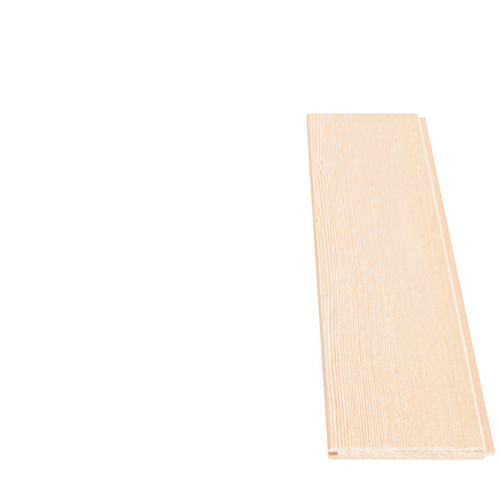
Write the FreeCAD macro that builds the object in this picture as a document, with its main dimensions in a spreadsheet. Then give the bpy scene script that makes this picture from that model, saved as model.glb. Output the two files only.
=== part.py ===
"""A tongue and groove lining board: one planed softwood stick of constant section.

The board lies face up. Its length runs along Y, its tongue points to +X and its groove
opens to -X. The origin is at the middle of the underside of the whole board's box.
"""
import FreeCAD, Part
import math
import os
import Sketcher

NODE = "board"

# Driving sizes of the board, in millimetres, and one slope in degrees.
SIZES = {
    # Length that the piece is cut to.
    "board_length": 400.0,
    # Planed thickness, from the back to the face.
    "thickness": 14.0,
    # Width that one laid board covers, from the lip over its groove to the shoulder over its tongue.
    "cover_width": 113.8,
    # How far the tongue stands out from that shoulder.
    "tongue_length": 6.2,
    # Thickness of the tongue where it leaves the shoulder.
    "tongue_thickness": 4.2,
    # Depth of the tongue's upper flank below the face, at the shoulder.
    "tongue_drop": 4.8,
    # Rounding of the two corners at the tongue's tip.
    "tongue_round": 1.2,
    # Slope of each flank of the tongue, and of the groove that takes it.
    "flank_draft": 1.5,
    # Room above and below a tongue in the groove.
    "flank_clearance": 0.15,
    # Room in front of a tongue's tip in the groove.
    "tip_clearance": 0.8,
    # Rounding of the two corners at the bottom of the groove.
    "groove_round": 0.4,
    # Gap between the backs of two laid boards whose faces are closed up.
    "back_gap": 1.2,
    # Width and depth of the bevel along the tongue side of the face.
    "bevel_run": 3.2,
    "bevel_drop": 4.0,
    # Eased edge along the groove side of the face.
    "lip_ease": 1.6,
    # Eased edges of the back, along the groove side and along the tongue side.
    "groove_side_ease": 1.6,
    "tongue_side_ease": 2.6,
}

# Places across the section, worked out from the sizes.
LIP_X = "-(sizes.cover_width + sizes.tongue_length) / 2"
SHOULDER_X = "(sizes.cover_width - sizes.tongue_length) / 2"
TONGUE_TIP_X = "(sizes.cover_width + sizes.tongue_length) / 2"
GROOVE_BOTTOM_X = LIP_X + " + sizes.tongue_length + sizes.tip_clearance"
TONGUE_HALF = "sizes.tongue_thickness / 2"
GROOVE_HALF = "sizes.tongue_thickness / 2 + sizes.flank_clearance"
TONGUE_MIDDLE_Z = "sizes.thickness - sizes.tongue_drop - sizes.tongue_thickness / 2"

# The outline of the tongue starts this far inside the plank, and that of the groove as far outside it.
RUN_IN = "sizes.back_gap + sizes.tongue_thickness"

# Names that the sketcher gives to the ends of a line and to the drawing's own origin and level axis.
START, END = 1, 2
ORIGIN = (-1, 1)
LEVEL_AXIS = -1


def make_sheet(doc):
    """Put every driving size into a cell of its own, named by its alias."""
    sheet = doc.addObject("Spreadsheet::Sheet", "sizes")
    for row, (alias, value) in enumerate(SIZES.items(), start=1):
        sheet.set("A%d" % row, alias)
        sheet.set("B%d" % row, str(value))
        sheet.setAlias("B%d" % row, alias)
    doc.recompute()
    return sheet


def section_sketch(body, name):
    """Start a sketch across the board, on the upright plane that halves its length."""
    plane = next(item for item in body.Origin.OriginFeatures if item.Role == "XZ_Plane")
    sketch = body.newObject("Sketcher::SketchObject", name)
    sketch.AttachmentSupport = [(plane, "")]
    sketch.MapMode = "FlatFace"
    return sketch


def dimension(sketch, name, kind, first, second, expression):
    """Bind the distance from the first point to the second to an expression of the sheet's sizes."""
    value = sketch.evalExpression(expression)
    number = sketch.addConstraint(Sketcher.Constraint(kind, *first, *second, value))
    sketch.renameConstraint(number, name)
    sketch.setExpression("Constraints." + name, expression)


def slope(sketch, name, line, expression):
    """Bind a line's direction, in degrees from the level axis, to an expression of the sheet's sizes."""
    value = math.radians(sketch.evalExpression(expression))
    number = sketch.addConstraint(Sketcher.Constraint("Angle", line, value))
    sketch.renameConstraint(number, name)
    sketch.setExpression("Constraints." + name, expression)


def draw_outline(sketch, corners):
    """Draw a closed outline of straight lines through the corners, joined end to end."""
    points = [FreeCAD.Vector(x, z, 0) for x, z in corners]
    for start, end in zip(points, points[1:] + points[:1]):
        sketch.addGeometry(Part.LineSegment(start, end))
    for line in range(len(points)):
        following = (line + 1) % len(points)
        sketch.addConstraint(Sketcher.Constraint("Coincident", line, END, following, START))


def run_full_length(feature, sketch):
    """Carry a section along the whole length, half to each side of the sketch."""
    feature.Profile = sketch
    feature.SideType = "Symmetric"
    feature.setExpression("Length", "sizes.board_length")
    sketch.Document.recompute()


def make_plank(body):
    """Plane the plain stick: face, back, the bevel and the eased edges, and the stepped-back lower sides."""
    sketch = section_sketch(body, "plank_section")
    measure = sketch.evalExpression
    lip, shoulder, top = measure(LIP_X), measure(SHOULDER_X), measure("sizes.thickness")
    step_height, step_back = measure(TONGUE_MIDDLE_Z), measure("sizes.back_gap / 2")
    run, drop = measure("sizes.bevel_run"), measure("sizes.bevel_drop")
    lip_ease = measure("sizes.lip_ease")
    groove_ease, tongue_ease = measure("sizes.groove_side_ease"), measure("sizes.tongue_side_ease")
    draw_outline(sketch, [
        (lip + step_back + groove_ease, 0),
        (shoulder - step_back - tongue_ease, 0),
        (shoulder - step_back, tongue_ease),
        (shoulder - step_back, step_height),
        (shoulder, step_height),
        (shoulder, top - drop),
        (shoulder - run, top),
        (lip + lip_ease, top),
        (lip, top - lip_ease),
        (lip, step_height),
        (lip + step_back, step_height),
        (lip + step_back, groove_ease),
    ])
    (back, ease_by_tongue, lower_shoulder, shoulder_step, upper_shoulder, bevel,
     face, ease_over_lip, upper_lip, lip_step, lower_lip, ease_by_groove) = range(12)
    for line in (back, shoulder_step, face, lip_step):
        sketch.addConstraint(Sketcher.Constraint("Horizontal", line))
    for line in (lower_shoulder, upper_shoulder, upper_lip, lower_lip):
        sketch.addConstraint(Sketcher.Constraint("Vertical", line))
    sketch.addConstraint(Sketcher.Constraint("PointOnObject", back, START, LEVEL_AXIS))
    dimension(sketch, "thickness", "DistanceY", (back, START), (face, START), "sizes.thickness")
    dimension(sketch, "lip_place", "DistanceX", ORIGIN, (upper_lip, START), LIP_X)
    dimension(sketch, "cover", "DistanceX", (upper_lip, END), (upper_shoulder, START), "sizes.cover_width")
    dimension(sketch, "bevel_run", "DistanceX", (bevel, END), (bevel, START), "sizes.bevel_run")
    dimension(sketch, "bevel_drop", "DistanceY", (bevel, START), (bevel, END), "sizes.bevel_drop")
    for name, line in (("shoulder_step", shoulder_step), ("lip_step", lip_step)):
        dimension(sketch, name + "_height", "DistanceY", ORIGIN, (line, START), TONGUE_MIDDLE_Z)
        dimension(sketch, name + "_back", "DistanceX", (line, START), (line, END), "sizes.back_gap / 2")
    for name, line, left, right, low, high, ease in (
        ("lip_ease", ease_over_lip, END, START, END, START, "sizes.lip_ease"),
        ("tongue_side_ease", ease_by_tongue, START, END, START, END, "sizes.tongue_side_ease"),
        ("groove_side_ease", ease_by_groove, START, END, END, START, "sizes.groove_side_ease"),
    ):
        dimension(sketch, name + "_run", "DistanceX", (line, left), (line, right), ease)
        dimension(sketch, name + "_rise", "DistanceY", (line, low), (line, high), ease)
    run_full_length(body.newObject("PartDesign::Pad", "plank"), sketch)


def draw_interlock(sketch, foot_x, far_x, half_height, corner_round):
    """Draw the shape that the tongue and the groove share, open end to the left.

    Two flanks close in towards the far end by the draft, about the tongue's middle height, and
    meet its upright end in two rounded corners. half_height is measured at foot_x, and the
    outline starts the run-in to the left of it.
    """
    measure = sketch.evalExpression
    far, middle = measure(far_x), measure(TONGUE_MIDDLE_Z)
    draft, round_off = math.radians(measure("sizes.flank_draft")), measure(corner_round)
    open_x = "%s - (%s)" % (foot_x, RUN_IN)
    open_half = "%s + (%s) * tan(sizes.flank_draft)" % (half_height, RUN_IN)
    left, left_half = measure(open_x), measure(open_half)

    # Each corner's arc touches the upright end and the flank that slopes by the draft.
    centre_x = far - round_off
    rise = left_half - (centre_x - left) * math.tan(draft) - round_off / math.cos(draft)
    touch_x = centre_x + round_off * math.sin(draft)
    touch_rise = rise + round_off * math.cos(draft)
    quarter = math.pi / 2 - draft

    def point(x, height):
        return FreeCAD.Vector(x, middle + height, 0)

    def corner(height, first_angle, last_angle):
        circle = Part.Circle(point(centre_x, height), FreeCAD.Vector(0, 0, 1), round_off)
        return Part.ArcOfCircle(circle, first_angle, last_angle)

    lower_flank, lower_corner, far_end, upper_corner, upper_flank, open_end = range(6)
    sketch.addGeometry([
        Part.LineSegment(point(left, -left_half), point(touch_x, -touch_rise)),
        corner(-rise, -quarter, 0),
        Part.LineSegment(point(far, -rise), point(far, rise)),
        corner(rise, 0, quarter),
        Part.LineSegment(point(touch_x, touch_rise), point(left, left_half)),
        Part.LineSegment(point(left, left_half), point(left, -left_half)),
    ])
    for line, following in ((lower_flank, lower_corner), (lower_corner, far_end),
                            (far_end, upper_corner), (upper_corner, upper_flank)):
        sketch.addConstraint(Sketcher.Constraint("Tangent", line, END, following, START))
    sketch.addConstraint(Sketcher.Constraint("Coincident", upper_flank, END, open_end, START))
    sketch.addConstraint(Sketcher.Constraint("Coincident", open_end, END, lower_flank, START))
    for line in (far_end, open_end):
        sketch.addConstraint(Sketcher.Constraint("Vertical", line))
    sketch.addConstraint(Sketcher.Constraint("Equal", lower_corner, upper_corner))
    dimension(sketch, "corner_round", "Radius", (lower_corner,), (), corner_round)
    dimension(sketch, "open_place", "DistanceX", ORIGIN, (open_end, START), open_x)
    dimension(sketch, "far_place", "DistanceX", ORIGIN, (far_end, START), far_x)
    dimension(sketch, "open_low", "DistanceY", ORIGIN, (open_end, END),
              "%s - (%s)" % (TONGUE_MIDDLE_Z, open_half))
    dimension(sketch, "open_height", "DistanceY", (open_end, END), (open_end, START), "2 * (%s)" % open_half)
    slope(sketch, "lower_slope", lower_flank, "sizes.flank_draft")
    slope(sketch, "upper_slope", upper_flank, "180 - sizes.flank_draft")


def make_tongue(body):
    """Add the tongue to the right-hand side of the plank."""
    sketch = section_sketch(body, "tongue_section")
    draw_interlock(sketch, SHOULDER_X, TONGUE_TIP_X, TONGUE_HALF, "sizes.tongue_round")
    run_full_length(body.newObject("PartDesign::Pad", "tongue"), sketch)


def make_groove(body):
    """Cut the groove into the left-hand side: the tongue's shape with its clearances added."""
    sketch = section_sketch(body, "groove_section")
    draw_interlock(sketch, LIP_X, GROOVE_BOTTOM_X, GROOVE_HALF, "sizes.groove_round")
    run_full_length(body.newObject("PartDesign::Pocket", "groove"), sketch)


def make_board(doc):
    """Build the board in the order of its cutters: planed stick, then tongue, then groove."""
    body = doc.addObject("PartDesign::Body", NODE)
    make_plank(body)
    plank_volume = body.Shape.Volume
    make_tongue(body)
    with_tongue = body.Shape.Volume
    make_groove(body)
    if not plank_volume < with_tongue > body.Shape.Volume:
        raise RuntimeError("the tongue added nothing or the groove cut nothing")
    return body


def check(doc, body):
    """Stop if any object of the document failed, or if the board isn't one sound solid."""
    for item in doc.Objects:
        if "Invalid" in item.State or "Error" in item.State:
            raise RuntimeError("%s failed: %s" % (item.Label, item.State))
        if item.TypeId == "Sketcher::SketchObject" and not item.FullyConstrained:
            raise RuntimeError("%s is not fully constrained" % item.Label)
    shape = body.Shape
    if shape.isNull() or not shape.isValid() or len(shape.Solids) != 1:
        raise RuntimeError("the board is not one valid solid")


def main():
    doc = FreeCAD.newDocument("tongue_and_groove_board")
    make_sheet(doc)
    body = make_board(doc)
    doc.recompute()
    check(doc, body)
    os.makedirs("parts", exist_ok=True)
    body.Shape.exportStep(os.path.join("parts", body.Label + ".step"))
    box = body.Shape.BoundBox
    print("%s: %.2f x %.2f x %.2f mm, from (%.2f, %.2f, %.2f), volume %.1f mm3" % (
        body.Label, box.XLength, box.YLength, box.ZLength, box.XMin, box.YMin, box.ZMin, body.Shape.Volume))


main()
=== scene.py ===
# %% [markdown]
# # A tongue and groove board
# This lesson dresses one planed softwood lining board. The imported CAD model comes first and stays
# fixed: it says how long, wide and thick the board is. Everything after it is looks: the grain of
# the face, the sawn ends, the eased corners and the light. The box of the CAD model is read here and
# gives the board's sizes.

# %% Load the frame
import math

import bpy
import numpy as np
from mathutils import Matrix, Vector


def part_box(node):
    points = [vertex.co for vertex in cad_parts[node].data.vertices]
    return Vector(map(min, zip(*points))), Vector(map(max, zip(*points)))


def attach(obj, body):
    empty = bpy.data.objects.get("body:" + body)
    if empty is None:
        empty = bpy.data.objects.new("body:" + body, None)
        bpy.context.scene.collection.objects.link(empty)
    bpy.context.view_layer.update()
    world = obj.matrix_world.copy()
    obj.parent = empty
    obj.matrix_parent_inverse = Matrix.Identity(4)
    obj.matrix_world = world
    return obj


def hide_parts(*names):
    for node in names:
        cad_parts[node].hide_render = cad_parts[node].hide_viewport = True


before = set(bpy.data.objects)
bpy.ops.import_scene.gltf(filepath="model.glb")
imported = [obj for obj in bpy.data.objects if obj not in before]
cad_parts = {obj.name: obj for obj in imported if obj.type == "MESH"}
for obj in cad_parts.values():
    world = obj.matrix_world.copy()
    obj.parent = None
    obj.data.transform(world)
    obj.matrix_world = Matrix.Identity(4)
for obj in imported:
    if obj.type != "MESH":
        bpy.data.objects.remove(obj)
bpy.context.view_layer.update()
MM = 0.001

# %% [markdown]
# ## The camera
# The picture looks down at the near end of the board, from in front and a little to its left, so
# the grain runs away from the viewer and the tongue shows along the right-hand edge. Four values
# hold that view: where the camera stands, how far it tips down, how far it turns, and its lens.

# %% Place the camera
CAMERA_PLACE_MM = (-115.12, -607.07, 605.36)
CAMERA_TIP_DOWN = math.radians(44.116)
CAMERA_TURN_LEFT = math.radians(0.116)
CAMERA_LENS = 71.1


def place_camera():
    """A camera that stands in front of the board, looks along +Y and tips down towards it."""
    lens = bpy.data.cameras.new("portrait_camera")
    lens.lens = CAMERA_LENS
    camera = bpy.data.objects.new("portrait_camera", lens)
    camera.location = [place * MM for place in CAMERA_PLACE_MM]
    camera.rotation_euler = (math.pi / 2 - CAMERA_TIP_DOWN, 0.0, CAMERA_TURN_LEFT)
    bpy.context.scene.collection.objects.link(camera)
    bpy.context.scene.camera = camera
    return camera


portrait_camera = place_camera()
bpy.context.scene.view_settings.view_transform = "Standard"
print("camera at", portrait_camera.location[:], "with a lens of", CAMERA_LENS, "mm")

# %% [markdown]
# ## Helpers for materials
# Every finish here is a small tree of shader nodes, and a few helpers keep those trees readable. One
# turns the colours that a screen shows, counted from 0 to 255, into the linear light that the nodes
# work with. One adds a node and fills or links its sockets in the same line. The others do sums,
# stretch one range of numbers to another, and read a place on the object.

# %% Node helpers
def screen_colour(red, green, blue):
    """Linear colour from screen values: each is divided by 255 and the screen's curve is undone."""
    share = np.array([red, green, blue]) / 255.0
    linear = np.where(share <= 0.04045, share / 12.92, ((share + 0.055) / 1.055) ** 2.4)
    return (*linear.tolist(), 1.0)


def add_node(tree, kind, values=None, **settings):
    """One node: settings are its own properties, values fill its inputs with numbers or with links."""
    made = tree.nodes.new(kind)
    for name, value in settings.items():
        setattr(made, name, value)
    for socket, value in (values or {}).items():
        if isinstance(value, bpy.types.NodeSocket):
            tree.links.new(value, made.inputs[socket])
        else:
            made.inputs[socket].default_value = value
    return made


def calc(tree, operation, first, second=0.0, third=0.0):
    """The output of one Math node that works on two or three numbers or links."""
    values = {0: first, 1: second, 2: third}
    return add_node(tree, "ShaderNodeMath", values, operation=operation).outputs[0]


def scaled(tree, value, span, ends, shape="LINEAR"):
    """A number that goes from the first of the ends to the second while value goes through the span."""
    values = {0: value, 1: span[0], 2: span[1], 3: ends[0], 4: ends[1]}
    return add_node(tree, "ShaderNodeMapRange", values, interpolation_type=shape).outputs[0]


def object_place(tree):
    """The place on the object itself, in metres."""
    return add_node(tree, "ShaderNodeTexCoord").outputs["Object"]


def coordinate(tree, axis, vector=None):
    """One coordinate of a vector, or of the place on the object."""
    parts = add_node(tree, "ShaderNodeSeparateXYZ", {"Vector": vector or object_place(tree)})
    return parts.outputs[axis]


def length_of(tree, vector):
    """The length of a vector."""
    return add_node(tree, "ShaderNodeVectorMath", {0: vector}, operation="LENGTH").outputs["Value"]


def empty_material(name):
    """A material whose tree holds nothing yet but its output node."""
    material = bpy.data.materials.new(name)
    material.use_nodes = True
    material.node_tree.nodes.clear()
    output = add_node(material.node_tree, "ShaderNodeOutputMaterial")
    return material, material.node_tree, output


print("a mid grey of the screen is", round(screen_colour(128, 128, 128)[0], 3), "in linear light")

# %% [markdown]
# ## Floor and light
# A pale studio table: a wide white floor, an even white sky and soft lamps. The sky alone would
# make every side alike, so three large lamps stand round the board. One hangs over it and lights the
# face, one stands before the near end for the sawn wood there, and one on the right picks out the
# bevel beside the tongue. The floor is an honest white surface for the light that bounces off it.
# What the camera sees of it is lifted towards pure white, as on a lit table, and the board's soft
# shadow stays on it.

# %% Make the floor
FLOOR_REACH = 6.0
FLOOR_BELOW = 0.2 * MM
FLOOR_WHITE = (0.9, 0.9, 0.9, 1.0)
PURE_WHITE = (1.0, 1.0, 1.0, 1.0)
FLOOR_LIFT = 0.75
FLOOR_GLOW = 1.1
FAR_GLOW = 1.17
# Distances from the board's middle, in metres, between which the floor's glow changes.
GLOW_RISE = (0.6, 2.0)


def make_floor():
    """A flat square under the board, just below its back so that the two don't fight for one plane."""
    reach = np.array([-FLOOR_REACH, FLOOR_REACH])
    across, along = np.meshgrid(reach, reach)
    corners = np.stack([across.ravel(), along.ravel(), np.full(4, -FLOOR_BELOW)], axis=1)
    mesh = bpy.data.meshes.new("studio_floor")
    mesh.from_pydata(corners.tolist(), [], [(0, 1, 3, 2)])
    floor = bpy.data.objects.new("studio_floor", mesh)
    bpy.context.scene.collection.objects.link(floor)
    return floor


def seen_directly(tree):
    """1 for a ray that shows the surface to the camera, straight or in a reflection, and 0 for bounced
    light."""
    path = add_node(tree, "ShaderNodeLightPath").outputs
    straight_or_gloss = calc(tree, "MAXIMUM", path["Is Camera Ray"], path["Is Glossy Ray"])
    return calc(tree, "MAXIMUM", straight_or_gloss, path["Is Transmission Ray"])


def floor_paint():
    """Matt white; for the rays that show it, part of it is a plain white glow that lifts the shadow. Far
    from the board, where the lamps don't reach, the glow is a little stronger."""
    material, tree, output = empty_material("table_white")
    matt = add_node(tree, "ShaderNodeBsdfDiffuse", {"Color": FLOOR_WHITE})
    apart = length_of(tree, object_place(tree))
    level = scaled(tree, apart, GLOW_RISE, (FLOOR_GLOW, FAR_GLOW))
    glow = add_node(tree, "ShaderNodeEmission", {"Color": PURE_WHITE, "Strength": level})
    lift = calc(tree, "MULTIPLY", seen_directly(tree), FLOOR_LIFT)
    mixed = add_node(tree, "ShaderNodeMixShader", {0: lift, 1: matt.outputs[0], 2: glow.outputs[0]})
    tree.links.new(mixed.outputs[0], output.inputs["Surface"])
    return material


studio_floor = make_floor()
studio_floor.data.materials.append(floor_paint())
print("floor", studio_floor.dimensions[:])

# %% Hang the lamps
SKY_LEVEL = 0.62
LAMPS = {
    "overhead": {"place": (0.0, 0.6, 1.25), "size": 0.9, "watts": 5.05},
    "near_end": {"place": (-0.1, -1.3, 0.5), "size": 0.8, "watts": 4.7},
    "right_side": {"place": (1.15, 0.05, 0.55), "size": 0.8, "watts": 2.15},
}


def light_sky():
    """An even sky for bounced light, and plain white where the camera looks past the floor."""
    world = bpy.data.worlds.new("studio_sky")
    world.use_nodes = True
    tree = world.node_tree
    tree.nodes.clear()
    output = add_node(tree, "ShaderNodeOutputWorld")
    rise = calc(tree, "MULTIPLY", seen_directly(tree), 1.0 - SKY_LEVEL)
    level = calc(tree, "ADD", rise, SKY_LEVEL)
    sky = add_node(tree, "ShaderNodeBackground", {"Color": PURE_WHITE, "Strength": level})
    tree.links.new(sky.outputs[0], output.inputs["Surface"])
    bpy.context.scene.world = world


def hang_lamp(name, place, size, watts):
    """A square soft lamp that looks at the middle of the board."""
    light = bpy.data.lights.new(name, "AREA")
    light.shape = "SQUARE"
    light.size = size
    light.energy = watts
    lamp = bpy.data.objects.new(name, light)
    lamp.location = place
    lamp.rotation_euler = (-lamp.location).to_track_quat("-Z", "Y").to_euler()
    bpy.context.scene.collection.objects.link(lamp)


light_sky()
for lamp_name, lamp_facts in LAMPS.items():
    hang_lamp(lamp_name, **lamp_facts)
print("sky at", SKY_LEVEL, "and lamps", sorted(LAMPS))

# %% [markdown]
# ## The section of the board
# A moulder planes the board from a plain stick, so one section runs the whole length: a flat face
# with a bevel beside the tongue, an eased lip over the groove, and a back that is set in a little so
# that two boards close at the face. The outer sizes come from the frame. The moulder's own sizes are
# named here much as in the CAD source, in millimetres. A real cutter leaves no knife edges, so every
# corner also gets a small round.

# %% Name the sizes
box_low, box_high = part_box("board")
half_width = (box_high.x - box_low.x) / 2 / MM
half_length = (box_high.y - box_low.y) / 2 / MM
thickness = box_high.z / MM
TONGUE_LENGTH = 6.2
TONGUE_THICKNESS = 4.2
TONGUE_DROP = 4.8
TONGUE_ROUND = 1.2
FLANK_SLOPE = math.tan(math.radians(1.5))
FLANK_CLEARANCE = 0.15
TIP_CLEARANCE = 0.8
GROOVE_ROUND = 0.4
BACK_SET_IN = 0.6
BEVEL_RUN = 3.2
BEVEL_DROP = 4.0
LIP_EASE = 1.6
GROOVE_SIDE_EASE = 1.6
TONGUE_SIDE_EASE = 2.6
ARRIS_ROUND = 0.3
INNER_ROUND = 0.2
cover_width = 2 * half_width - TONGUE_LENGTH
print("board", 2 * half_width, "wide", 2 * half_length, "long", thickness, "thick, cover", cover_width)


# %% Lay out the corners
def tongue_flanks(place):
    """Heights of the tongue's lower and upper flank at a place across the board: two lines that close
    in."""
    past_root = place - (half_width - TONGUE_LENGTH)
    upper = thickness - TONGUE_DROP - past_root * FLANK_SLOPE
    lower = thickness - TONGUE_DROP - TONGUE_THICKNESS + past_root * FLANK_SLOPE
    return lower, upper


def groove_flanks(place):
    """The flanks of the next board's tongue, one cover width away, with the clearance added."""
    lower, upper = tongue_flanks(place + cover_width)
    return lower - FLANK_CLEARANCE, upper + FLANK_CLEARANCE


def section_corners():
    """The section's corners, anticlockwise from the back's left end: name, across, height and rounding."""
    shoulder = half_width - TONGUE_LENGTH
    back_shoulder = shoulder - BACK_SET_IN
    lower_lip = -half_width + BACK_SET_IN
    groove_end = half_width - cover_width + TIP_CLEARANCE
    return [
        ("back_left", lower_lip + GROOVE_SIDE_EASE, 0.0, ARRIS_ROUND),
        ("back_right", back_shoulder - TONGUE_SIDE_EASE, 0.0, ARRIS_ROUND),
        ("right_ease", back_shoulder, TONGUE_SIDE_EASE, ARRIS_ROUND),
        ("tongue_foot", back_shoulder, tongue_flanks(back_shoulder)[0], INNER_ROUND),
        ("tip_low", half_width, tongue_flanks(half_width)[0], TONGUE_ROUND),
        ("tip_high", half_width, tongue_flanks(half_width)[1], TONGUE_ROUND),
        ("tongue_root", shoulder, tongue_flanks(shoulder)[1], INNER_ROUND),
        ("bevel_foot", shoulder, thickness - BEVEL_DROP, INNER_ROUND),
        ("bevel_top", shoulder - BEVEL_RUN, thickness, ARRIS_ROUND),
        ("face_left", -half_width + LIP_EASE, thickness, ARRIS_ROUND),
        ("lip_ease", -half_width, thickness - LIP_EASE, ARRIS_ROUND),
        ("lip_inner", -half_width, groove_flanks(-half_width)[1], ARRIS_ROUND),
        ("groove_high", groove_end, groove_flanks(groove_end)[1], GROOVE_ROUND),
        ("groove_low", groove_end, groove_flanks(groove_end)[0], GROOVE_ROUND),
        ("lower_lip", lower_lip, groove_flanks(lower_lip)[0], ARRIS_ROUND),
        ("left_ease", lower_lip, GROOVE_SIDE_EASE, ARRIS_ROUND),
    ]


corners = section_corners()
print(len(corners), "corners, from", corners[0], "to", corners[-1])

# %% Round the outline
ARC_POINTS = 9


def eased_outline(corner_list):
    """The closed outline with an arc at each corner, and the distance along it of each arc's middle.

    A side's direction turns by an angle into the next one. The arc starts short of the corner by the
    radius times the tangent of half that angle. After turning by part of the angle, its point is the
    start, plus radius times the sine of that part along the first side, plus radius times one minus
    its cosine across that side, towards the inside of the bend.
    """
    points = np.array([corner[1:3] for corner in corner_list])
    radius = np.array([corner[3] for corner in corner_list])[:, None]
    leaving = np.roll(points, -1, axis=0) - points
    leaving /= np.linalg.norm(leaving, axis=1, keepdims=True)
    coming = np.roll(leaving, 1, axis=0)
    cross = coming[:, 0] * leaving[:, 1] - coming[:, 1] * leaving[:, 0]
    turn = np.arctan2(cross, (coming * leaving).sum(axis=1))[:, None]
    across = np.sign(turn) * np.stack([-coming[:, 1], coming[:, 0]], axis=1)
    start = points - coming * radius * np.tan(np.abs(turn) / 2)
    part = np.abs(turn) * np.linspace(0.0, 1.0, ARC_POINTS)[None, :]
    along_side = (radius * np.sin(part))[..., None] * coming[:, None, :]
    into_bend = (radius * (1 - np.cos(part)))[..., None] * across[:, None, :]
    arcs = start[:, None, :] + along_side + into_bend
    outline = arcs.reshape(-1, 2)
    outline = np.vstack([outline, outline[:1]])
    steps = np.linalg.norm(np.diff(outline, axis=0), axis=1)
    distance = np.concatenate([[0.0], np.cumsum(steps)])
    middles = distance[np.arange(len(corner_list)) * ARC_POINTS + ARC_POINTS // 2]
    return outline, distance, middles


outline, outline_distance, arc_middles = eased_outline(corners)
corner_mark = {corner[0]: mark for corner, mark in zip(corners, arc_middles)}
print("the outline is", round(outline_distance[-1], 2), "mm round")

# %% [markdown]
# ## The end of the board as a sheet of cells
# A sawn end has chips and torn fibres, so it can't be one flat polygon. It is laid out as a rectangle
# of columns and rows of cells. Left of the groove's bottom only the rows of the two lips are kept, and
# right of the shoulder only the rows of the tongue. The rim of that sheet is the section's outline, so
# the same points that close the end also carry the long sides, and the mesh has no open seam.

# %% Count the cells
LIP_COLUMNS = 14
BODY_COLUMNS = 270
TONGUE_COLUMNS = 14
LOWER_ROWS = 11
TONGUE_ROWS = 8
UPPER_ROWS = 11
EASE_ROWS = 5
FOOT_ROWS = 3
FINE_STEPS = np.array([0.0, 0.12, 0.26, 0.45, 0.7])
groove_column = LIP_COLUMNS
root_column = LIP_COLUMNS + BODY_COLUMNS
last_column = root_column + TONGUE_COLUMNS
low_row = LOWER_ROWS
high_row = LOWER_ROWS + TONGUE_ROWS
last_row = high_row + UPPER_ROWS


def fine_ended(start, end, count, fine_start=False, fine_end=False):
    """Count steps from start to end, even but for a few short ones beside an arris."""
    head = start + FINE_STEPS[:-1] if fine_start else np.empty(0)
    tail = (end - FINE_STEPS[:-1])[::-1] if fine_end else np.empty(0)
    inner_start = start + FINE_STEPS[-1] if fine_start else start
    inner_end = end - FINE_STEPS[-1] if fine_end else end
    middle = np.linspace(inner_start, inner_end, count + 1 - len(head) - len(tail))
    return np.concatenate([head, middle, tail])


def outline_at(places):
    """Points of the outline at distances along it, straight between the outline's own points."""
    return np.stack([np.interp(places, outline_distance, outline[:, axis]) for axis in (0, 1)], axis=1)


def rim_points(from_corner, to_corner, count):
    """Evenly spaced points along the outline from one corner's arc middle to another's, both included."""
    total = outline_distance[-1]
    start = corner_mark[from_corner]
    length = (corner_mark[to_corner] - start) % total
    places = (start + np.linspace(0.0, length, count + 1)) % total
    return outline_at(places)


def rim_through(start, middle, end, first_count, last_count):
    """Points along the outline from one corner to another, with the corner between them on a point too."""
    return np.vstack([rim_points(start, middle, first_count)[:-1], rim_points(middle, end, last_count)])


def flat_row(from_corner, to_corner, height, split):
    """A row of points along the face or the back, with one at the split: even steps across, with short
    ones and the middles of the arris arcs at both ends."""
    first, last = outline_at(np.array([corner_mark[from_corner], corner_mark[to_corner]]))
    lip = fine_ended(first[0], split, LIP_COLUMNS, fine_start=True)
    body = fine_ended(split, last[0], BODY_COLUMNS, fine_end=True)
    across = np.concatenate([lip, body[1:]])
    row = np.stack([across, np.full(len(across), height)], axis=1)
    row[0], row[-1] = first, last
    return row


print("columns", last_column, "rows", last_row)

# %% Fill the cells
def blended_patch(bottom, top, left, right):
    """A grid between four edges: the blend of bottom and top by height, plus the blend of left and right
    by width, less the blend of the four corners. Columns come first, then rows."""
    width = np.linspace(0.0, 1.0, len(bottom))[:, None, None]
    height = np.linspace(0.0, 1.0, len(left))[None, :, None]
    upward = (1 - height) * bottom[:, None] + height * top[:, None]
    sideways = (1 - width) * left[None] + width * right[None]
    by_corners = (
        (1 - width) * (1 - height) * bottom[0]
        + width * (1 - height) * bottom[-1]
        + (1 - width) * height * top[0]
        + width * height * top[-1]
    )
    return upward + sideways - by_corners


def straight(start, end, count):
    """Count even steps on a straight line between two points."""
    return start + np.linspace(0.0, 1.0, count + 1)[:, None] * (end - start)


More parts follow.
